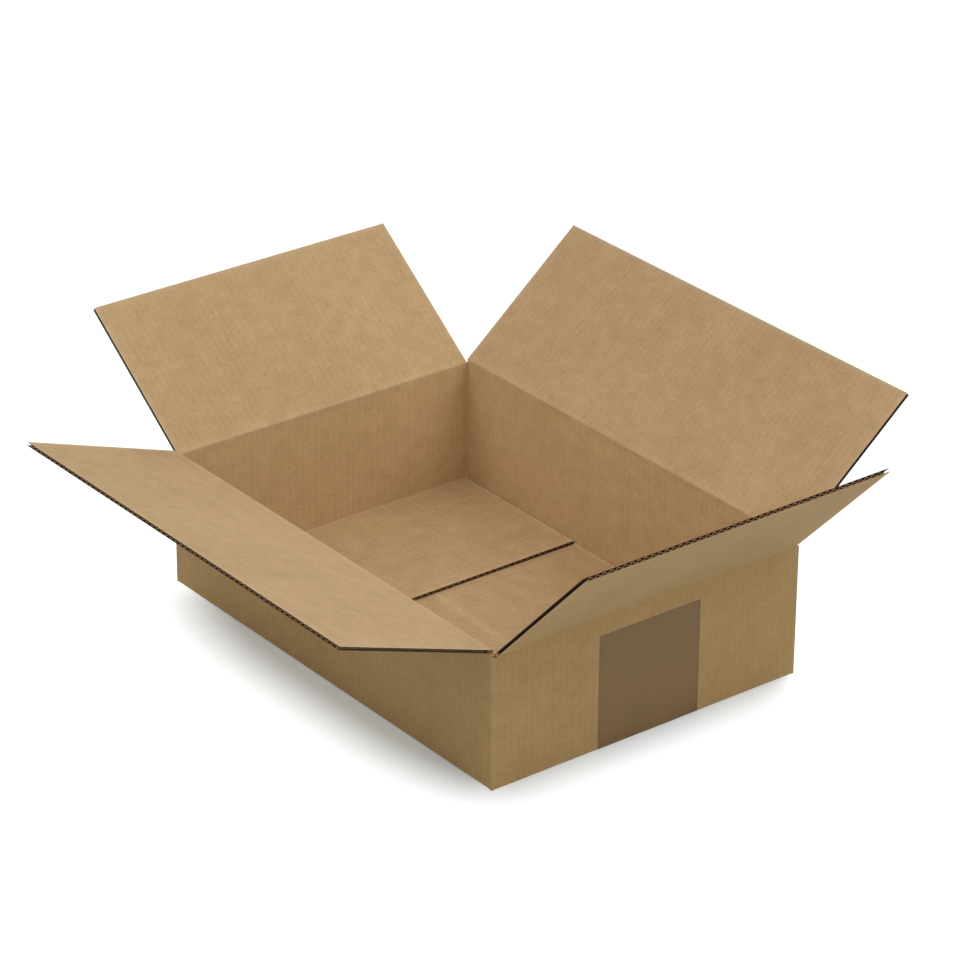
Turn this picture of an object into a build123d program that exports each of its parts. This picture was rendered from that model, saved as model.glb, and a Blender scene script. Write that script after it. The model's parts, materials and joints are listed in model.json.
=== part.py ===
"""An open shallow shipping box of thin corrugated board: one folded blank, its bottom taped, its four top flaps open.

X runs along the box, Y across it and Z up. The origin is the centre of the underside. Millimetres and degrees.
"""
from build123d import *
import os

# The box, outside
box_length = 216.0
box_width = 154.0
end_crease_height = 58.1       # the crease of the end flaps, at the outer face of the wall

# The board: two liners with a fluted medium between them
board = 1.5
liner = 0.2
flute_pitch = 3.3
flute_top_width = 0.4          # short side of the trapezoid that one flute leaves open
flute_foot_width = 2.5         # long side of it
side_groove = 0.8              # how deep a cut along the flutes is open between the liners
crushed_length = 6.0           # stretch beside a crease where the flutes are pressed flat

# Folds and creases
fold_inside = 0.3
fold_outside = 1.2             # less than the board would add, because a fold is pressed thin
pinched_fold = 0.6             # outer radius at the foot of the end walls, where the fold is pinched
fold_stub = 1.0                # flat stretch of the bottom flap that is drawn with its fold
crease_gap = 0.2               # between the bevelled edges that meet at a top crease
stack_gap = 0.1                # between layers that lie on each other

# Top flaps
front_flap_angle = 70.6        # degrees outwards from upright, as each one stands open
back_flap_angle = 50.3
near_flap_angle = 43.7
far_flap_angle = 53.6
top_seam_gap = 5.0             # between the two long flaps once closed
long_flap_inset = 1.5          # side edge of a long flap, in from the end of the box
end_flap_clearance = 0.3       # side edge of an end flap, in from the long wall's inner face

# Bottom flaps
bottom_seam_gap = 0.4
bottom_long_clearance = 0.3    # side edge of an outer flap, in from the end wall's inner face
bottom_end_clearance = 0.8     # side edge of an inner flap, in from the long wall's inner face
bottom_end_depth = 78.5        # from the end wall's outer face to the inner flap's free edge

# The glued lap that closes the blank, at the near end's back corner
lap_width = 28.0
lap_taper = 6.0
lap_clearance = 1.0
lap_groove_width = 0.7
lap_groove_depth = 0.9
raw_edge_groove = 0.4

# The tape along the bottom seam, turned up both ends
tape_width = 50.8
tape_offset = 0.7              # from the seam to the tape's middle, towards the back
tape_thickness = 0.06
tape_bend = 0.5
tape_end_below_crease = 7.7

# Worked out from the sizes above
half_length = box_length / 2
half_width = box_width / 2
long_crease_height = end_crease_height + board + stack_gap
flap_depth = (box_width - top_seam_gap) / 2
inner_layer = board + stack_gap                     # underside of the inner bottom flaps
floor_top = inner_layer + board
core = board - 2 * liner
long_flap_width = box_length - 2 * long_flap_inset
end_flap_width = box_width - 2 * (board + end_flap_clearance)
margin = 1.0                                        # how far a cutting tool runs past what it cuts


def box_between(low, high):
    """A block from its lowest corner to its highest."""
    size = [b - a for a, b in zip(low, high)]
    centre = [(a + b) / 2 for a, b in zip(low, high)]
    return Pos(*centre) * Box(*size)


def open_flute(middle, wide_below):
    """The space that one flute leaves, seen end on: a trapezoid that narrows away from its liner."""
    low, high = liner, board - liner
    foot, top = flute_foot_width / 2, flute_top_width / 2
    if not wide_below:
        low, high = high, low
    corners = [(middle - foot, low), (middle + foot, low), (middle + top, high), (middle - top, high)]
    return Wire.make_polygon([Vector(x, 0, z) for x, z in corners], close=True)


def fluted_panel(width, depth):
    """A flat panel from z = 0 to the board's thickness, with flutes along +Y that are open at both ends.

    Its two sides are cut along the flutes, so they are open between the liners for a short way.
    """
    half = width / 2
    groove = half - side_groove
    outline = [
        (-half, 0), (half, 0), (half, liner), (groove, liner), (groove, board - liner), (half, board - liner),
        (half, board), (-half, board), (-half, board - liner), (-groove, board - liner), (-groove, liner),
        (-half, liner),
    ]
    edge = Wire.make_polygon([Vector(x, 0, z) for x, z in outline], close=True)
    step = flute_pitch / 2
    each_way = int((groove - liner - flute_foot_width / 2) / step)
    holes = [open_flute(k * step, k % 2 == 0) for k in range(-each_way, each_way + 1)]
    return Part() + extrude(Face(edge, holes), amount=depth, dir=(0, 1, 0))


def top_flap(width):
    """A flap standing upright on its crease line, the X axis, with its outer face at y = 0 and its inner at +Y."""
    root = Plane.YZ * Polygon(
        (0, 0), (board, board), (board, crushed_length), (0, crushed_length), align=None
    )
    root = extrude(root, amount=width / 2, both=True)
    panel = fluted_panel(width, flap_depth - crushed_length)
    return root + Pos(0, board, crushed_length) * Rot(90, 0, 0) * panel


def hinged(flap, angle, turn, x, y, crease):
    """A flap opened by its angle about its crease, then turned to face its wall."""
    return Pos(x, y, crease) * Rot(0, 0, turn) * Rot(angle, 0, 0) * flap


def wall_section(outer, crease, under, radius):
    """A wall with its bottom fold, seen end on, with the outer face at the given distance from the middle.

    The wall comes down to the ground, and its bottom flap lies inside it, above what is under the flap.
    """
    inner = outer - board
    flap_start = outer - fold_outside - fold_stub
    flap_top = under + board
    top = crease - crease_gap
    wall = Polygon((outer, top), (outer, 0), (inner, 0), (inner, top - board), align=None)
    flap = Polygon((outer, under), (outer, flap_top), (flap_start, flap_top), (flap_start, under), align=None)
    section = wall + flap
    section = fillet(section.vertices().sort_by_distance(Vector(inner, flap_top))[0], fold_inside)
    return fillet(section.vertices().sort_by_distance(Vector(outer, 0))[0], radius)


def both_ends(part, plane):
    """A part and its mirror image."""
    return part + mirror(part, about=plane)


def long_walls():
    """Front and back walls with the outer bottom flaps that meet at the middle seam."""
    section = wall_section(half_width, long_crease_height, 0, fold_outside)
    wall = extrude(Plane.YZ * section, amount=half_length - fold_outside, both=True)
    reach = half_length - board - bottom_long_clearance
    flap = box_between((-reach, bottom_seam_gap / 2, 0), (reach, half_width - fold_outside, board))
    return both_ends(wall + flap, Plane.XZ)


def end_walls():
    """End walls with the inner bottom flaps, whose cut edges show their flutes.

    The foot of an end wall is pinched, so that it comes down past the ends of the outer flaps.
    """
    section = wall_section(half_length, end_crease_height, inner_layer, pinched_fold)
    wall = extrude(Plane.XZ * section, amount=half_width - fold_outside, both=True)
    reach = half_width - board - bottom_end_clearance
    root = half_length - fold_outside
    tip = half_length - bottom_end_depth
    solid_tip = root - crushed_length
    flat = box_between((solid_tip, -reach, inner_layer), (root, reach, floor_top))
    fluted = Pos(tip, 0, inner_layer) * Rot(0, 0, -90) * fluted_panel(2 * reach, solid_tip - tip)
    return both_ends(wall + flat + fluted, Plane.YZ)


def corner_folds():
    """The four upright folds. At the lap corner the end wall stops at a raw edge beside the fold into the lap."""
    outline = RectangleRounded(box_length, box_width, fold_outside)
    hollow = RectangleRounded(box_length - 2 * board, box_width - 2 * board, fold_inside)
    walls = Rectangle(box_length - 2 * fold_outside, box_width) + Rectangle(box_length, box_width - 2 * fold_outside)
    raw_corner = Pos(half_length - board / 2, half_width - board / 2) * Rectangle(board, board)
    raw_edge = half_length - board
    groove_start = raw_edge - lap_groove_width
    groove = Polygon(
        (raw_edge, half_width + margin), (raw_edge, half_width - lap_groove_depth), (groove_start, half_width),
        (groove_start, half_width + margin), align=None,
    )
    open_edge = Pos(half_length - board / 2, half_width) * Rectangle(core, 2 * raw_edge_groove)
    plan = outline - hollow - walls + raw_corner - groove - open_edge
    return extrude(plan, amount=end_crease_height)


def glued_lap():
    """The lap of the back wall, glued inside the near end wall. Both its ends taper towards its free edge."""
    root = half_width - board
    tip = root - lap_width
    low = floor_top + lap_clearance
    high = end_crease_height - crease_gap - board - lap_clearance
    face = Plane.YZ.offset(half_length - board) * Polygon(
        (root, low), (root, high), (tip, high - lap_taper), (tip, low + lap_taper), align=None
    )
    return extrude(face, amount=-board)


def box_body():
    """The walls, the bottom and the lap: all of the blank but its top flaps."""
    body = long_walls() + end_walls() + corner_folds() + glued_lap()
    seat = box_between(
        (-half_length - margin, tape_offset - tape_width / 2, -margin),
        (half_length + margin, tape_offset + tape_width / 2, tape_thickness),
    )
    return body - seat


def bottom_tape():
    """One strip along the bottom seam, pressed flush into the underside and turned up both ends."""
    top = end_crease_height - tape_end_below_crease
    outer = half_length + tape_thickness
    band = Polygon(
        (-outer, top), (-outer, 0), (outer, 0), (outer, top), (half_length, top), (half_length, tape_thickness),
        (-half_length, tape_thickness), (-half_length, top), align=None,
    )
    for side in (-1, 1):
        for reach, height, radius in ((outer, 0, tape_bend), (half_length, tape_thickness, tape_bend - tape_thickness)):
            band = fillet(band.vertices().sort_by_distance(Vector(side * reach, height))[0], radius)
    return Pos(0, tape_offset, 0) * extrude(Plane.XZ * band, amount=tape_width / 2, both=True)


long_flap = top_flap(long_flap_width)
end_flap = top_flap(end_flap_width)

nodes = {
    "box_body": box_body(),
    "front_flap": hinged(long_flap, front_flap_angle, 0, 0, -half_width, long_crease_height),
    "near_end_flap": hinged(end_flap, near_flap_angle, 90, half_length, 0, end_crease_height),
    "back_flap": hinged(long_flap, back_flap_angle, 180, 0, half_width, long_crease_height),
    "far_end_flap": hinged(end_flap, far_flap_angle, 270, -half_length, 0, end_crease_height),
    "bottom_tape": bottom_tape(),
}

os.makedirs("parts", exist_ok=True)
for name, part in nodes.items():
    export_step(part, f"parts/{name}.step")
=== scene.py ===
"""An open shallow shipping box of thin corrugated board, dressed for a studio photograph.

The box is folded from one blank. A place on the blank is (u, v): u runs round the walls from the cut edge at
the near end's back corner, and v runs up the walls and on along the top flaps, or down and on along the
bottom flaps. The board's patterns follow (u, v), so they run on over every fold. Sizes are in millimetres
until a mesh is made.
"""
import json
import math

import bpy
import numpy as np
from mathutils import Matrix, Vector


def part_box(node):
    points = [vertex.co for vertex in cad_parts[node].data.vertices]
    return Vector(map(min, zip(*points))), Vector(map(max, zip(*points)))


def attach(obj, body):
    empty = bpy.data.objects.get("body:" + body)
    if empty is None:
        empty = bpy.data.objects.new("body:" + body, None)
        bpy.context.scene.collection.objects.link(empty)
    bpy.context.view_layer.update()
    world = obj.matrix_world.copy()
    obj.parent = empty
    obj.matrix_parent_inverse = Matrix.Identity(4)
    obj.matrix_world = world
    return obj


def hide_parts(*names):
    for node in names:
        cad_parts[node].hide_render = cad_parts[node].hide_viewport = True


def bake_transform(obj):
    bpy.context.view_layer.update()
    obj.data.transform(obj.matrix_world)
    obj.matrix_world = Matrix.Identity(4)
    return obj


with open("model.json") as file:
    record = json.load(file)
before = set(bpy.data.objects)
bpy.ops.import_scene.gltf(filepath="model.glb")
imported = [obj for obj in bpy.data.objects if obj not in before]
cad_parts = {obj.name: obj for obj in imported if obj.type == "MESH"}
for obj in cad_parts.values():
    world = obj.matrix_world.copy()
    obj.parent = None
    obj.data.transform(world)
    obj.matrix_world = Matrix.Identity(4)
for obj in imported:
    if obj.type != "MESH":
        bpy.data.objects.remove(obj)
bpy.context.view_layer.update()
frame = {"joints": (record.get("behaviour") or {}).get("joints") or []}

MM = 0.001
UP = np.array((0.0, 0.0, 1.0))

# The board: two liners with a fluted medium between them
board = 1.5
liner = 0.15
flute_pitch = 3.3
medium_thickness = 0.3
medium_inset = 0.35            # how far the flutes end inside the liners' cut ends
medium_side_inset = 1.4        # and inside a cut that runs along the flutes
layer_gap = 0.1                # between layers that lie on each other
edge_wear = 0.9                # how far in from a cut edge the liners are rubbed

# Folds
fold_outside = 1.2
fold_inside = 0.3
long_foot_radius = 0.8         # outer radius at the foot of the long walls
pinched_fold = 0.6             # and at the foot of the end walls
fold_lead = 0.5                # flat stretch of wall that is drawn with the fold below it
fold_root = 1.0                # flat stretch of bottom flap that is drawn with its fold
crush = 1.7                    # from a top crease to where its inner liner leaves the wall or the flap

# Where the points of the meshes lie
edge_lines = (0.5, 1.2, 2.5)   # from an edge of a face to the lines of points beside it
grid_step = 5                  # between the other lines
foot_step = 6                  # between them along the foot of a wall
fold_lines = 9                 # across a quarter turn, and across each half of a top crease
points_per_flute = 12

# The box, from the frame
joints = {joint["child"]: joint for joint in frame["joints"]}
half_length, half_width = (np.array(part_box("box_body")[1]) / MM)[:2]
long_crease = joints["front_flap"]["pos_m"][2] / MM
end_crease = joints["near_end_flap"]["pos_m"][2] / MM
long_flap_width = (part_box("front_flap")[1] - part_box("front_flap")[0]).x / MM
end_flap_width = (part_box("near_end_flap")[1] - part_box("near_end_flap")[0]).y / MM
tape_low, tape_high = (np.array(corner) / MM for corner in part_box("bottom_tape"))
tape_thickness = tape_high[0] - half_length
tape_bend = 0.5
tape_edge_darkening = 0.8           # how far in from its edges the tape is darker
top_seam_gap = 5.0
flap_depth = half_width - top_seam_gap / 2

# Bottom flaps
bottom_seam_gap = 0.08
bottom_long_clearance = 0.3
bottom_end_clearance = 0.4
bottom_end_depth = 76.8
inner_layer = board + layer_gap

# The glued lap, and the cut edges beside it
lap_width = 28.0
lap_taper = 6.0
lap_clearance = 1.0
raw_edge_groove = 0.5

# Where each wall's middle lies on the blank
near_middle = half_width
front_middle = 2 * half_width + half_length
far_middle = 3 * half_width + 2 * half_length
back_middle = 4 * half_width + 3 * half_length
INSIDE = np.array((1.0, 0.0))  # metres on the UV map between the outer liner's pattern and the inner one's

OUTER, INNER, CUT, MEDIUM = range(4)    # material numbers of the board's pieces


def stations(low, high, step, fine=edge_lines):
    """Places from low to high, close together near both ends and about one step apart between."""
    fine = np.array(fine)
    count = max(2, round((high - low - 2 * fine[-1]) / step) + 1)
    middle = np.linspace(low + fine[-1], high - fine[-1], count)
    return np.concatenate([[low], low + fine[:-1], middle, high - fine[-2::-1], [high]])


def sheet(front, back, front_uv, back_uv, looks, wear):
    """A closed sheet from two grids of points, one for each face, and a rim that joins their borders.

    Looks are the material numbers of the front, the back and the rim. The rim's may be four: at the first
    row, the last column, the last row and the first column. A face runs from point (r, c) to (r, c + 1),
    (r + 1, c + 1) and (r + 1, c), and all are turned round if that makes the front look towards the back.
    """
    rows, columns = front.shape[:2]
    number = np.arange(rows * columns).reshape(rows, columns)
    corners = [number[:-1, :-1], number[:-1, 1:], number[1:, 1:], number[1:, :-1]]
    face = np.stack(corners, axis=-1).reshape(-1, 4)
    border = np.concatenate([number[0], number[1:, -1], number[-1, -2::-1], number[-2:0:-1, 0]])
    after = np.roll(border, -1)
    last = rows * columns
    rim = np.stack([after, border, border + last, after + last], axis=-1)
    faces = np.concatenate([face, face[:, ::-1] + last, rim])
    front_uv, back_uv = front_uv.reshape(-1, 2), back_uv.reshape(-1, 2)
    near, far = front_uv[border], front_uv[after]
    rim_uv = np.stack([far, near, near + board * MM, far + board * MM], axis=1)
    uv = np.concatenate([front_uv[face], back_uv[face[:, ::-1]], rim_uv])
    across = np.cross(front[:-1, 1:] - front[:-1, :-1], front[1:, :-1] - front[:-1, :-1])
    if np.sum(across * (front - back)[:-1, :-1]) < 0:
        faces, uv = faces[:, ::-1], uv[:, ::-1]
    front_look, back_look, rim_looks = looks
    rim_look = np.repeat(np.broadcast_to(rim_looks, 4), [columns - 1, rows - 1] * 2)
    look = np.concatenate([np.repeat((front_look, back_look), len(face)), rim_look])
    points = np.concatenate([front.reshape(-1, 3), back.reshape(-1, 3)])
    return {"points": points, "faces": faces, "uv": uv, "look": look, "wear": np.tile(wear.ravel(), 2)}


def make_piece(name, sheets, materials):
    """One mesh object from closed sheets, in metres, with the blank as its UV map."""
    smooth_below = math.radians(35)
    first = np.cumsum([0] + [len(part["points"]) for part in sheets[:-1]])
    points = np.concatenate([part["points"] for part in sheets]) * MM
    faces = np.concatenate([part["faces"] + start for part, start in zip(sheets, first)])
    uv = np.concatenate([part["uv"] for part in sheets])
    wear = np.concatenate([part["wear"] for part in sheets])
    look = np.concatenate([part["look"] for part in sheets])
    mesh = bpy.data.meshes.new(name)
    mesh.from_pydata(points.tolist(), [], faces.tolist())
    mesh.uv_layers.new(name="blank").data.foreach_set("uv", uv.ravel())
    mesh.attributes.new("wear", "FLOAT", "POINT").data.foreach_set("value", wear)
    mesh.polygons.foreach_set("material_index", look)
    mesh.polygons.foreach_set("use_smooth", np.ones(len(faces), bool))
    mesh.set_sharp_from_angle(angle=smooth_below)
    for material in materials:
        mesh.materials.append(material)
    piece = bpy.data.objects.new(name, mesh)
    bpy.context.scene.collection.objects.link(piece)
    return piece


def corrugated_panel(place, blank, reach, starts, depth, rows):
    """The two liners and the medium of a panel that reaches as far to either side and ends at its depth.

    place(p, q, r) gives the point p along the crease, q away from it and r in from the outer face, and
    blank(p, q) its place on the blank. Starts are the q where the outer liner, the inner liner and the medium
    begin, and rows are the q between. The medium is a sine wave along p, as deep as the space between the
    liners.
    """
    outer_start, inner_start, medium_start = starts
    tip_gap = 3.0              # between the last of the given rows and the panel's free edge
    medium_gap = 1.0           # between the medium's start and the first of them
    rows = rows[rows < depth - tip_gap]
    tip_lines = depth - np.array((*edge_lines[::-1], 0.0))
    p = stations(-reach, reach, grid_step)
    sheets = []
    for start, outside, inside, side, look in (
        (outer_start, 0.0, liner, 0 * INSIDE, OUTER), (inner_start, board, board - liner, INSIDE, INNER)
    ):
        q = np.concatenate([[start], rows[rows > start + edge_lines[0]], tip_lines])
        along, away = np.meshgrid(p, q)
        uv = blank(along, away) + side
        edge = np.minimum(reach - np.abs(along), depth - away)
        wear = np.exp(-np.maximum(edge, 0) / edge_wear)
        faces = place(along, away, outside), place(along, away, inside)
        sheets.append(sheet(*faces, uv, uv, (look, CUT, CUT), wear))
    end = reach - medium_side_inset
    p = np.linspace(-end, end, round(points_per_flute * 2 * end / flute_pitch))
    q = np.concatenate([[medium_start], rows[rows > medium_start + medium_gap], [depth - medium_inset]])
    along, away = np.meshgrid(p, q)
    swing = (board - 2 * liner - medium_thickness) / 2
    wave = board / 2 + swing * np.sin(2 * np.pi * along / flute_pitch)
    faces = [place(along, away, wave + half) for half in (-medium_thickness / 2, medium_thickness / 2)]
    uv = blank(along, away)
    sheets.append(sheet(*faces, uv, uv, (MEDIUM, MEDIUM, MEDIUM), np.zeros(along.shape)))
    return sheets


def top_flap(name, middle, width, root_look, bow):
    """A top flap with its crease, where the board is crushed and its inner liner cuts the corner.

    In the flap a point lies p along the crease, q away from it and r in from the outer face. It bows towards
    its inner face by a sine of both ways, which is nought along its edges. In the fold t runs from the wall,
    at 0, to the flap, at 1. The inner face is a mean of the wall's edge, weighing (1 - t)^4, the flap's edge,
    weighing t^4, and the line where the two inner faces would cross, weighing the rest. The outer side keeps
    one liner's thickness from the crease, and turns with t. The root look is that of the fold's ends beside
    the flap.
    """
    crease_wear = 0.5
    row_count = 14
    last_row = flap_depth - 6.0
    joint = joints[name]
    crease = np.array(joint["pos_m"]) / MM
    along_crease = np.array(joint["axis"], float)
    outward = np.cross(along_crease, UP)
    opened = math.radians(-joint["range_deg"][0] - 90)
    lie = outward * math.sin(opened) + UP * math.cos(opened)
    face = UP * math.sin(opened) - outward * math.cos(opened)
    reach = width / 2

    def place(p, q, r):
        p, q, r = (a[..., None] for a in np.broadcast_arrays(p, q, r))
        bulge = bow * np.sin(np.pi * q / flap_depth) * np.cos(np.pi * p / width)
        return crease + along_crease * p + lie * q + face * (r + bulge)

    def blank(p, q):
        return np.stack([middle - p, crease[2] + q], axis=-1) * MM

    def fold(low, high, rims):
        p, t = np.meshgrid(stations(-reach, reach, grid_step), np.linspace(low, high, fold_lines))
        on_wall = -outward * board - UP * crush
        on_flap = face * board + lie * crush
        meeting = on_wall + UP * (crush + board * math.tan(opened / 2))
        u = t[..., None]
        from_wall, from_flap = (1 - u) ** 4, u ** 4
        inner = on_wall * from_wall + on_flap * from_flap + meeting * (1 - from_wall - from_flap)
        away = (2 * u - 1) * crush
        outer = (UP * np.sin(u * opened) - outward * np.cos(u * opened)) * liner
        outer = outer + UP * np.minimum(away, 0) + lie * np.maximum(away, 0)
        start = crease + along_crease * p[..., None]
        uv = blank(p, away[..., 0])
        wear = np.exp(-np.abs(away[..., 0]) / crush) * crease_wear
        return sheet(start + inner, start + outer, uv + INSIDE, uv, (INNER, CUT, rims), wear)

    rows = np.linspace(edge_lines[-1], last_row, row_count)
    sheets = [fold(0.0, 0.5, OUTER), fold(0.5, 1.0, root_look)]
    sheets += corrugated_panel(place, blank, reach, (0.0, crush, crush), flap_depth, rows)
    piece = make_piece(name + "_board", sheets, board_looks)
    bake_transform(piece)
    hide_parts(name)


def quarter(centre, radius):
    """A quarter circle from straight out to straight down, as (distance from the middle, height)."""
    turn = np.linspace(0, math.pi / 2, fold_lines)
    return [(centre[0] + radius * math.cos(a), centre[1] - radius * math.sin(a)) for a in turn]


def foot_section(half_span, under, radius):
    """Both sides of the fold at the foot of a wall, seen end on, as (distance from the middle, height).

    They go down the wall and end a little way along the bottom flap. Where there is another layer under the
    flap, the outer side first comes down to the ground, and then turns in above that layer.
    """
    inner_face = half_span - board
    end = half_span - fold_outside - fold_root
    flap_top = under + board
    top = flap_top + fold_inside + fold_lead
    step = [(inner_face, 0.0), (inner_face, under)] if under else []
    outer = [(half_span, top)] + quarter((half_span - radius, radius), radius) + step + [(end, under)]
    bend = quarter((inner_face - fold_inside, flap_top + fold_inside), fold_inside)
    beyond = [(x, flap_top) for x in np.linspace(bend[-1][0], end, len(step) + 2)[1:]]
    inner = [(inner_face, top)] + bend + beyond
    return np.array(outer), np.array(inner)


def bottom_flap(name, middle, half_wall, half_span, under, radius, reach, depth):
    """The fold at the foot of a wall, solid and as thick as the board, and the bottom flap beyond it.

    Along the crease the fold reaches as far as its wall, and at its end as far as its flap. In the flap a
    point lies q in from the wall's outer face and r above the flap's underside. Where the tape covers the
    underside, it is raised by the tape's thickness, in a step just beside the tape's edges.
    """
    beside_tape = 0.01
    foot_wear = 0.4
    row_count = 12
    first_gap, last_gap = 1.0, 4.0     # from the flap's start and its free edge to its rows of points
    along_crease = np.array(joints[name]["axis"], float)
    outward = np.cross(along_crease, UP)
    tape_sides = np.array((tape_low[1], tape_high[1]))

    def recessed(point):
        low, high = tape_sides + np.array((-0.5, 0.5)) * beside_tape
        covered = (point[..., 1] > low) & (point[..., 1] < high) & (point[..., 2] < layer_gap)
        point[..., 2] = np.where(covered, np.maximum(point[..., 2], tape_thickness), point[..., 2])
        return point

    def place(p, q, r):
        p, q, r = (a[..., None] for a in np.broadcast_arrays(p, q, r))
        return recessed(along_crease * p + outward * (half_span - q) + UP * (under + r))

    outer, inner = foot_section(half_span, under, radius)
    run = np.concatenate([[0.0], np.cumsum(np.linalg.norm(np.diff(outer, axis=0), axis=1))])
    flap_start = fold_outside + fold_root

    def blank(p, q):
        return np.stack([middle - p, outer[0, 1] - run[-1] - q + flap_start], axis=-1) * MM

    tape_edges = outward[1] * tape_sides + along_crease[1] * tape_sides
    just_beside = np.concatenate([tape_edges - beside_tape, tape_edges + beside_tape])
    wide = half_wall - fold_outside
    across = stations(-wide, wide, foot_step)
    if along_crease[1]:
        across = np.sort(np.concatenate([across, just_beside]))
    width = np.where(run < run[-1], wide, reach)
    p = across[None, :] / wide * width[:, None]
    sides = [
        along_crease * p[..., None] + outward * side[:, None, :1] + UP * side[:, None, 1:]
        for side in (outer, inner)
    ]
    uv = np.stack([middle - p, outer[0, 1] - run[:, None] + 0 * p], axis=-1) * MM
    wear = np.exp(-np.abs(run - run[-1] / 2) / board)[:, None] * foot_wear + 0 * p
    fold = sheet(recessed(sides[0]), sides[1], uv, uv + INSIDE, (OUTER, INNER, OUTER), wear)
    rows = np.linspace(flap_start + first_gap, depth - last_gap, row_count)
    if outward[1]:
        rows = np.sort(np.concatenate([rows, half_span - just_beside]))
    return [fold] + corrugated_panel(place, blank, reach, (flap_start,) * 3, depth, rows)


def wall_strip():
    """The four walls and the glued lap as one strip of full thickness, standing on edge.

    Seen from above it is straight stretches joined by quarter circles of the fold's radius. Every column of
    points goes straight up, from its own bottom to its own top, and the inner face is the outer one moved in
    by the board. At the strip's two cut ends the liners stand out past the crushed flutes.
    """
    hair = 0.0001              # more than rounding errors come to
    first_turn = 0.04          # radians from a straight stretch to a fold's first column
    fold_margin = 0.05         # from a fold's start to the column just before it
    corner_wear = 0.15
    turned_to_long = 0.82      # a fold's columns go as high as the long wall while they face it by this share
    turns = np.linspace(first_turn, math.pi / 2 - first_turn, fold_lines)
    edge_columns = (raw_edge_groove, fold_outside - fold_margin, fold_outside)
    straight_x, straight_y = half_length - fold_outside, half_width - fold_outside
    lap_plane = half_length - board
    lap_corner = lap_plane - fold_outside
    lap_start = back_middle + lap_corner
    plan = []

    def straight(start, end, inward, u):
        run = math.dist(start, end)
        for t in stations(0.0, run, grid_step, edge_columns) / run:
            point = np.array(start) + (np.array(end) - np.array(start)) * t
            plan.append((*point, *inward, u + t * run))

    def corner(centre, first, u):
        for turn in turns:
            out = np.array((math.cos(first - turn), math.sin(first - turn)))
            point = np.array(centre) + out * fold_outside
            plan.append((*point, *-out, u + 4 * fold_outside * turn / math.pi))

    side = half_width + straight_y
    straight((half_length, half_width), (half_length, -straight_y), (-1, 0), 0.0)
    corner((straight_x, -straight_y), 0.0, side)
    straight((straight_x, -half_width), (-straight_x, -half_width), (0, 1), 2 * half_width + fold_outside)
    corner((-straight_x, -straight_y), -math.pi / 2, front_middle + straight_x)
    straight((-half_length, -straight_y), (-half_length, straight_y), (1, 0), far_middle - straight_y)
    corner((-straight_x, straight_y), math.pi, far_middle + straight_y)
    straight((-straight_x, half_width), (lap_corner, half_width), (0, -1), back_middle - straight_x)
    corner((lap_corner, straight_y), math.pi / 2, lap_start)
    straight(
        (lap_plane, straight_y), (lap_plane, half_width - board - lap_width), (-1, 0),
        lap_start + 2 * fold_outside,
    )
    x, y, inward_x, inward_y, u = np.array(plan).T
    on_lap = u > lap_start + fold_outside
    along_lap = np.clip((straight_y - y) / lap_width, 0, 1) * on_lap
    on_long = (np.abs(inward_y) > turned_to_long) & ~on_lap
    under_end_flap = (np.abs(inward_x) > 1 - hair) & (np.abs(y) < end_flap_width / 2) & ~on_lap
    lap_top = end_crease - board - lap_clearance - lap_taper * along_lap
    outer_top = np.where(on_long, long_crease, np.where(on_lap, lap_top, end_crease))
    inner_top = outer_top - crush * (on_long | under_end_flap)
    flat = np.abs(inward_x) + np.abs(inward_y) < 1 + hair
    foot = np.where(np.abs(inward_y) > 1 - hair, 0.0, inner_layer) + board + fold_inside + fold_lead
    foot = np.where(flat & (u > fold_outside - hair), foot, 0.0)
    foot = np.where(on_lap, inner_layer + board + lap_clearance + lap_taper * along_lap, foot)
    share = stations(0.0, 1.0, 0.08, fine=(0.01, 0.03))[:, None]
    wear = np.where(flat, 0.0, corner_wear)[None, :] + 0 * share

    def face_at(depth, columns):
        top = outer_top + (inner_top - outer_top) * depth / board
        z = (foot + (top - foot) * share)[:, columns]
        plan_x, plan_y = (x + inward_x * depth)[columns], (y + inward_y * depth)[columns]
        points = np.stack([plan_x + 0 * z, plan_y + 0 * z, z], axis=-1)
        return points, np.stack([u[columns] + 0 * z, z], axis=-1) * MM

    sheets = []
    for columns, outside, inside, looks in (
        (slice(1, -1), 0.0, board, (OUTER, INNER, (OUTER, CUT, OUTER, CUT))),
        (slice(0, 2), 0.0, liner, (OUTER, CUT, OUTER)),
        (slice(0, 2), board - liner, board, (CUT, INNER, OUTER)),
        (slice(-2, None), 0.0, liner, (OUTER, CUT, OUTER)),
        (slice(-2, None), board - liner, board, (CUT, INNER, OUTER)),
    ):
        front, front_uv = face_at(outside, columns)
        back, back_uv = face_at(inside, columns)
        sheets.append(sheet(front, back, front_uv, back_uv + INSIDE, looks, wear[:, columns]))
    return sheets


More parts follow.
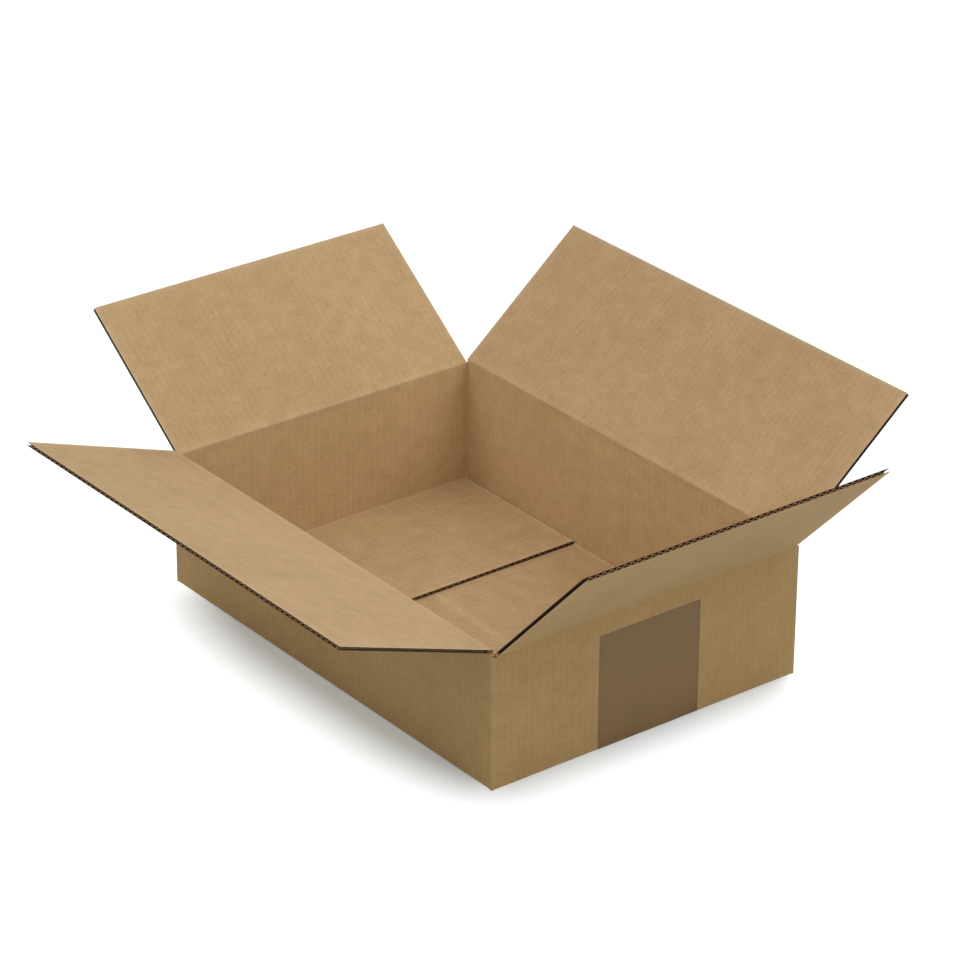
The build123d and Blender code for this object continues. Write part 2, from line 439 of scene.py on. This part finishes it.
def packing_tape():
    """The tape: flat under the box, round its foot by a quarter circle at each end, and up both end walls.

    The distance q is measured from the middle of the underside. Up to the bend a point lies q out, over the
    bend it turns about the bend's centre, and past it the point climbs.
    """
    flat_rows, bend_rows = 24, 7
    flat = tape_high[0] - tape_bend
    bend = tape_bend * math.pi / 2
    climb = tape_high[2] - tape_bend

    def place(p, q, r):
        p, q, r = np.broadcast_arrays(p, q, r)
        turn = np.clip((np.abs(q) - flat) / bend, 0, 1) * math.pi / 2
        rise = np.maximum(np.abs(q) - flat - bend, 0)
        x = np.sign(q) * (np.minimum(np.abs(q), flat) + (tape_bend - r) * np.sin(turn))
        z = tape_bend - (tape_bend - r) * np.cos(turn) + rise
        return np.stack([x, p, z], axis=-1)

    half = np.concatenate([
        np.linspace(0, flat, flat_rows),
        flat + bend * np.linspace(0, 1, bend_rows)[1:],
        stations(flat + bend, flat + bend + climb, grid_step)[1:],
    ])
    q = np.concatenate([-half[:0:-1], half])
    p = stations(tape_low[1], tape_high[1], grid_step)
    across, along = np.meshgrid(p, q)
    uv = np.stack([across, along], axis=-1) * MM
    edge = np.minimum(np.minimum(across - tape_low[1], tape_high[1] - across), half[-1] - np.abs(along))
    faces = place(across, along, 0.0), place(across, along, tape_thickness)
    strip = sheet(*faces, uv, uv, (0, 0, 0), np.exp(-edge / tape_edge_darkening))
    piece = make_piece("packing_tape", [strip], (tape_film,))
    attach(piece, "box")
    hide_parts("bottom_tape")


def linear(colour):
    """A linear colour from an sRGB hex value, by the sRGB curve."""
    values = [int(colour[i:i + 2], 16) / 255 for i in (1, 3, 5)]
    return (*[v / 12.92 if v <= 0.04045 else ((v + 0.055) / 1.055) ** 2.4 for v in values], 1.0)


def add(tree, kind, inputs=None, **settings):
    """Adds a node, sets its settings, and gives each named or numbered input a value or a link."""
    node = tree.nodes.new(kind)
    for name, value in settings.items():
        setattr(node, name, value)
    for socket, value in (inputs or {}).items():
        if isinstance(value, bpy.types.NodeSocket):
            tree.links.new(value, node.inputs[socket])
        else:
            node.inputs[socket].default_value = value
    return node


def new_material(name):
    """An empty material with its Principled shader, and the tree that both are in."""
    material = bpy.data.materials.new(name)
    material.use_nodes = True
    tree = material.node_tree
    return material, tree, tree.nodes["Principled BSDF"]


def in_millimetres(tree):
    """The place on the piece's own UV map, in millimetres."""
    uv = add(tree, "ShaderNodeTexCoord").outputs["UV"]
    return add(tree, "ShaderNodeVectorMath", {0: uv, 1: (1 / MM,) * 3}, operation="MULTIPLY").outputs[0]


def mixed(tree, share, dark, light):
    """A colour between two others, which may be hex values or the output of another node."""
    ends = [linear(colour) if isinstance(colour, str) else colour for colour in (dark, light)]
    inputs = {"Factor": share, "A": ends[0], "B": ends[1]}
    return add(tree, "ShaderNodeMix", inputs, data_type="RGBA").outputs["Result"]


def add_bump(tree, shader, height, distance):
    """Small relief of the shader's surface, as deep as the distance, in millimetres."""
    bump = add(tree, "ShaderNodeBump", {"Height": height, "Strength": 1.0, "Distance": distance * MM})
    tree.links.new(bump.outputs[0], shader.inputs["Normal"])


def kraft_liner(name, dark, light, worn):
    """Kraft linerboard: unbleached wood pulp, rolled on a paper machine and left bare.

    The eye sees a matte brown sheet: cloudy where the pulp lies thicker, with long fibres, flecks of darker
    and lighter pulp, and faint ribs where the flutes show through. Real fibres are about 0.04 mm wide. They
    are drawn some ten times as wide, so that they show.
    """
    material, tree, shader = new_material(name)
    mm = in_millimetres(tree)

    def noise(size, detail, roughness, turn=0.0):
        """Noise whose grains are size[0] by size[1] millimetres, turned on the blank."""
        place = add(
            tree, "ShaderNodeMapping",
            {"Vector": mm, "Rotation": (0, 0, math.radians(turn)), "Scale": (1 / size[0], 1 / size[1], 1)},
        )
        return add(
            tree, "ShaderNodeTexNoise",
            {"Vector": place.outputs[0], "Scale": 1.0, "Detail": detail, "Roughness": roughness},
        ).outputs["Fac"]

    def flecks(size, turn):
        """The tips of a fine noise: small flecks of about the size, with clear board between them."""
        tips = {"Value": noise(size, 1, 0.5, turn), "From Min": 0.62, "From Max": 0.78}
        return add(tree, "ShaderNodeMapRange", tips).outputs[0]

    def weighed(total, patterns):
        """A total, and a share of each pattern's value about its middle."""
        for pattern, weight in patterns:
            centred = add(tree, "ShaderNodeMath", {0: pattern, 1: 0.5}, operation="SUBTRACT").outputs[0]
            inputs = {0: centred, 1: weight, 2: total}
            total = add(tree, "ShaderNodeMath", inputs, operation="MULTIPLY_ADD").outputs[0]
        return total

    clouds = noise((9, 7), 5, 0.6)
    blotches = noise((42, 55), 2, 0.5)
    fibres = noise((5.0, 0.45), 3, 0.6, 8)
    cross_fibres = noise((0.5, 4.0), 3, 0.6, -20)
    streaks = noise((1.7, 90), 2, 0.5)
    across = add(tree, "ShaderNodeSeparateXYZ", {0: mm}).outputs[0]
    phase = {0: across, 1: 2 * math.pi / flute_pitch}
    phase = add(tree, "ShaderNodeMath", phase, operation="MULTIPLY").outputs[0]
    wave = add(tree, "ShaderNodeMath", {0: phase}, operation="SINE").outputs[0]
    ribs = add(tree, "ShaderNodeMath", {0: wave, 1: 0.5, 2: 0.5}, operation="MULTIPLY_ADD").outputs[0]
    tone = weighed(0.5, (
        (clouds, 0.75), (blotches, 0.45), (fibres, 0.4), (cross_fibres, 0.3), (streaks, 0.12), (ribs, 0.08),
        (flecks((1.6, 1.1), 25), -0.5), (flecks((1.2, 1.7), -40), 0.35),
    ))
    tone = add(tree, "ShaderNodeClamp", {"Value": tone}).outputs[0]
    wear = add(tree, "ShaderNodeAttribute", attribute_name="wear").outputs["Fac"]
    rubbed = add(tree, "ShaderNodeMath", {0: wear, 1: clouds}, operation="MULTIPLY").outputs[0]
    colour = mixed(tree, rubbed, mixed(tree, tone, dark, light), worn)
    tree.links.new(colour, shader.inputs["Base Color"])
    rough = add(tree, "ShaderNodeMapRange", {"Value": clouds, "To Min": 0.74, "To Max": 0.9}).outputs[0]
    tree.links.new(rough, shader.inputs["Roughness"])
    shader.inputs["Specular IOR Level"].default_value = 0.25
    relief = weighed(0.0, ((ribs, 0.35), (fibres, 0.3), (cross_fibres, 0.3), (clouds, 0.6)))
    add_bump(tree, shader, relief, 0.06)
    return material


def bare_pulp(name, dark, light):
    """Unfinished recycled pulp, as in the flutes and where the knife has cut: dark, ragged and without gloss.
    On the cut liners, part of that dark is painted shade of the open flutes along the cut.

    Torn fibre ends are too fine to show, so the grain is drawn 0.8 mm wide.
    """
    grain_size = 0.8
    material, tree, shader = new_material(name)
    place = add(tree, "ShaderNodeTexCoord").outputs["Object"]
    grain = {"Vector": place, "Scale": 1 / (grain_size * MM), "Detail": 3}
    grain = add(tree, "ShaderNodeTexNoise", grain).outputs["Fac"]
    tree.links.new(mixed(tree, grain, dark, light), shader.inputs["Base Color"])
    shader.inputs["Roughness"].default_value = 0.95
    add_bump(tree, shader, grain, 0.05)
    return material


def brown_tape():
    """Brown polypropylene packing tape: film stretched at the mill, with glue behind it.

    It is smooth and semi-gloss, faintly cloudy where its glue is thin, and has faint lines along it from the
    stretching. Those are too fine to show, so they are drawn 1.6 mm wide.
    """
    line_width, line_length, patch_size = 1.6, 120, 14
    material, tree, shader = new_material("polypropylene_packing_tape")
    mm = in_millimetres(tree)
    drawn = {"Vector": mm, "Scale": (1 / line_width, 1 / line_length, 1)}
    drawn = add(tree, "ShaderNodeMapping", drawn).outputs[0]
    lines = add(tree, "ShaderNodeTexNoise", {"Vector": drawn, "Scale": 1.0, "Detail": 2}).outputs["Fac"]
    patches = {"Vector": mm, "Scale": 1 / patch_size, "Detail": 3}
    patches = add(tree, "ShaderNodeTexNoise", patches).outputs["Fac"]
    tone = add(tree, "ShaderNodeMath", {0: lines, 1: 0.4, 2: patches}, operation="MULTIPLY_ADD").outputs[0]
    tone = add(tree, "ShaderNodeMapRange", {"Value": tone, "From Min": 0.35, "From Max": 1.05}).outputs[0]
    wear = add(tree, "ShaderNodeAttribute", attribute_name="wear").outputs["Fac"]
    # The tape is drawn darker towards its edges and ends, by the value that packing_tape stores as wear.
    edge = add(tree, "ShaderNodeMath", {0: wear, 1: 0.5}, operation="MULTIPLY").outputs[0]
    colour = mixed(tree, edge, mixed(tree, tone, "#634924", "#6D522A"), "#583F1F")
    tree.links.new(colour, shader.inputs["Base Color"])
    rough = add(tree, "ShaderNodeMapRange", {"Value": patches, "To Min": 0.42, "To Max": 0.55}).outputs[0]
    tree.links.new(rough, shader.inputs["Roughness"])
    shader.inputs["Specular IOR Level"].default_value = 0.35
    add_bump(tree, shader, patches, 0.04)
    return material


def staged(name, points, faces):
    """A mesh of the studio, which isn't part of the box."""
    mesh = bpy.data.meshes.new(name)
    mesh.from_pydata(points, [], faces)
    thing = bpy.data.objects.new(name, mesh)
    bpy.context.scene.collection.objects.link(thing)
    return thing


def light_table():
    """A white table of matte paper that glows a little by itself."""
    reach = 8.0                # metres
    drop = 0.0001
    glow = 0.28
    corners = ((-1, -1), (1, -1), (1, 1), (-1, 1))
    floor = staged("floor", [(x * reach, y * reach, -drop) for x, y in corners], [(0, 1, 2, 3)])
    material, tree, shader = new_material("matte_studio_paper")
    shader.inputs["Base Color"].default_value = linear("#F4F4F4")
    shader.inputs["Roughness"].default_value = 0.9
    shader.inputs["Emission Color"].default_value = linear("#E8F7FF")
    shader.inputs["Emission Strength"].default_value = glow
    floor.data.materials.append(material)
    return floor


def shadow_flag():
    """An upright band inside the walls that can't be seen and shades the table from its lamp.

    It is mirrored about X = 0. Its sides draw in towards the two front corners by the fourth power of the
    distance from their middle, so that the shadow fades out there. It stands clear of the walls' rounded
    feet, so that no strip of lit table shows below them.
    """
    height = 0.061             # metres
    inset = 1.0
    long_draw, end_draw = 20.0, 11.0
    side_share, side_points = 0.8, 27
    length, width = half_length - inset, half_width - inset
    across = np.linspace(-side_share, side_share, side_points)
    front_side = np.stack([across * half_length, long_draw * across ** 4 - width], axis=-1)
    near_side = np.stack([length - end_draw * np.minimum(across, 0) ** 4, across * half_width], axis=-1)
    half_plan = np.concatenate([front_side[side_points // 2:], near_side, [(length, width)]])
    plan = np.concatenate([half_plan, half_plan[::-1] * (-1, 1)]) * MM
    count = len(plan)
    points = np.concatenate([np.column_stack([plan, np.full(count, z)]) for z in (0.0, height)])
    number = np.arange(count)
    after = np.roll(number, -1)
    faces = np.stack([number, after, after + count, number + count], axis=-1)
    flag = staged("flag", points.tolist(), faces.tolist())
    for ray in ("camera", "diffuse", "glossy", "transmission"):
        setattr(flag, "visible_" + ray, False)
    return flag


def dim_surround():
    """A dim white world, which fills the deepest shadows."""
    world = bpy.data.worlds.new("surround")
    world.use_nodes = True
    background = world.node_tree.nodes["Background"]
    background.inputs["Color"].default_value = linear("#FFFFFF")
    background.inputs["Strength"].default_value = 0.03
    bpy.context.scene.world = world


def soft_lamp(name, place, size, power):
    """A soft oval lamp that shines at the origin. Its place, width and height are in metres."""
    lamp = bpy.data.lights.new(name, "AREA")
    lamp.shape = "ELLIPSE"
    lamp.size, lamp.size_y = size
    lamp.energy = power
    lamp_object = bpy.data.objects.new(name, lamp)
    lamp_object.location = place
    lamp_object.rotation_mode = "QUATERNION"
    lamp_object.rotation_quaternion = Vector(place).to_track_quat("Z", "Y")
    bpy.context.scene.collection.objects.link(lamp_object)
    return lamp_object


def linked(name, item, state):
    """A collection that links a lamp to one thing, or to all but that thing."""
    collection = bpy.data.collections.new(name)
    collection.objects.link(item)
    collection.collection_objects[0].light_linking.link_state = state
    return collection


def studio(body):
    """A white light table with its own lamp, soft lamps all round for the box, and a dim surround.

    The table's lamp leaves the box out, and the flag alone shades it. One more small lamp hangs over the
    opening and shines on the walls and the bottom, not on the flaps.
    """
    lamp_size = (3.5, 3.5)
    floor = light_table()
    dim_surround()
    flag = shadow_flag()
    floor_only, walls_only, flag_only = (
        linked(item.name + "_only", item, "INCLUDE") for item in (floor, body, flag)
    )
    all_but_floor, all_but_flag = (linked("all_but_" + item.name, item, "EXCLUDE") for item in (floor, flag))
    lamps = [
        soft_lamp(name, place, lamp_size, power) for name, place, power in (
            ("lamp_behind_right", (2.5, 2.5, 3.5), 77), ("lamp_behind_left", (-3.0, 3.5, 2.0), 124),
            ("lamp_front", (0.0, -2.5, 4.3), 61), ("lamp_front_low", (0.0, -4.5, 2.1), 70),
            ("lamp_front_left", (-2.2, -2.5, 3.7), 31), ("lamp_right", (3.2, 0.0, 3.8), 40),
            ("lamp_right_low", (4.7, 0.0, 1.7), 73),
        )
    ]
    inside_lamp = soft_lamp("inside_lamp", (0.0, 0.0, 0.125), (0.2, 0.14), 0.021)
    inside_lamp.visible_camera = False
    for lamp in (*lamps, inside_lamp):
        lamp.light_linking.receiver_collection = walls_only if lamp is inside_lamp else all_but_floor
        lamp.light_linking.blocker_collection = all_but_flag
    floor_lamp = soft_lamp("floor_lamp", (-1.1, 2.8, 8.0), (5.4, 4.5), 820)
    floor_lamp.data.color = linear("#FBFCFF")[:3]
    floor_lamp.light_linking.receiver_collection = floor_only
    floor_lamp.light_linking.blocker_collection = flag_only
    bpy.context.scene.view_settings.view_transform = "Standard"


def photograph_camera():
    """The camera where the photograph was taken from, as fitted to the box's edges in it."""
    azimuth, elevation, roll = (math.radians(a) for a in (52.114, 26.676, 0.404))
    distance = 1.64446
    target = Vector((0.047882, -0.034521, 0.094336))
    focal_pixels = 4227.8
    long_side_pixels = 971
    level = math.cos(elevation)
    back = Vector((math.sin(azimuth) * level, -math.cos(azimuth) * level, math.sin(elevation)))
    right = Vector((math.cos(azimuth), math.sin(azimuth), 0))
    up = back.cross(right)
    turned_right = right * math.cos(roll) + up * math.sin(roll)
    turned_up = up * math.cos(roll) - right * math.sin(roll)
    data = bpy.data.cameras.new("camera")
    data.sensor_width = 36
    data.lens = data.sensor_width * focal_pixels / long_side_pixels
    camera = bpy.data.objects.new("camera", data)
    turned = Matrix((turned_right, turned_up, back)).transposed().to_4x4()
    camera.matrix_world = Matrix.Translation(target + back * distance) @ turned
    bpy.context.scene.collection.objects.link(camera)
    bpy.context.scene.camera = camera


board_looks = (
    # The outer liner is drawn darker than the inner one. Part of that difference is painted shade on the
    # box's outer faces.
    kraft_liner("outer_kraft_liner_with_painted_shade", "#7D643C", "#9C8054", "#AC9065"),
    kraft_liner("inner_kraft_liner", "#A18459", "#C8A87F", "#D2B991"),
    # The cut liners are drawn near black. Part of that is the darker cut pulp, and part is painted shade of
    # the open flutes beside every cut edge.
    bare_pulp("cut_liner_with_painted_shade", "#402B16", "#64482D"),
    bare_pulp("fluting_medium", "#876643", "#A68359"),
)
tape_film = brown_tape()

for name, middle, width, root_look, bow in (
    ("front_flap", front_middle, long_flap_width, CUT, 0.25),
    ("near_end_flap", near_middle, end_flap_width, OUTER, 0.2),
    ("back_flap", back_middle, long_flap_width, CUT, -0.25),
    ("far_end_flap", far_middle, end_flap_width, OUTER, 0.2),
):
    top_flap(name, middle, width, root_look, bow)

parts = wall_strip()
for name, middle in (("front_flap", front_middle), ("back_flap", back_middle)):
    parts += bottom_flap(
        name, middle, half_length, half_width, 0.0, long_foot_radius,
        half_length - board - bottom_long_clearance, half_width - bottom_seam_gap / 2,
    )
for name, middle in (("near_end_flap", near_middle), ("far_end_flap", far_middle)):
    parts += bottom_flap(
        name, middle, half_width, half_length, inner_layer, pinched_fold,
        half_width - board - bottom_end_clearance, bottom_end_depth,
    )
body = make_piece("walls_and_bottom", parts, board_looks)
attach(body, "box")
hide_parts("box_body")
packing_tape()

studio(body)
photograph_camera()
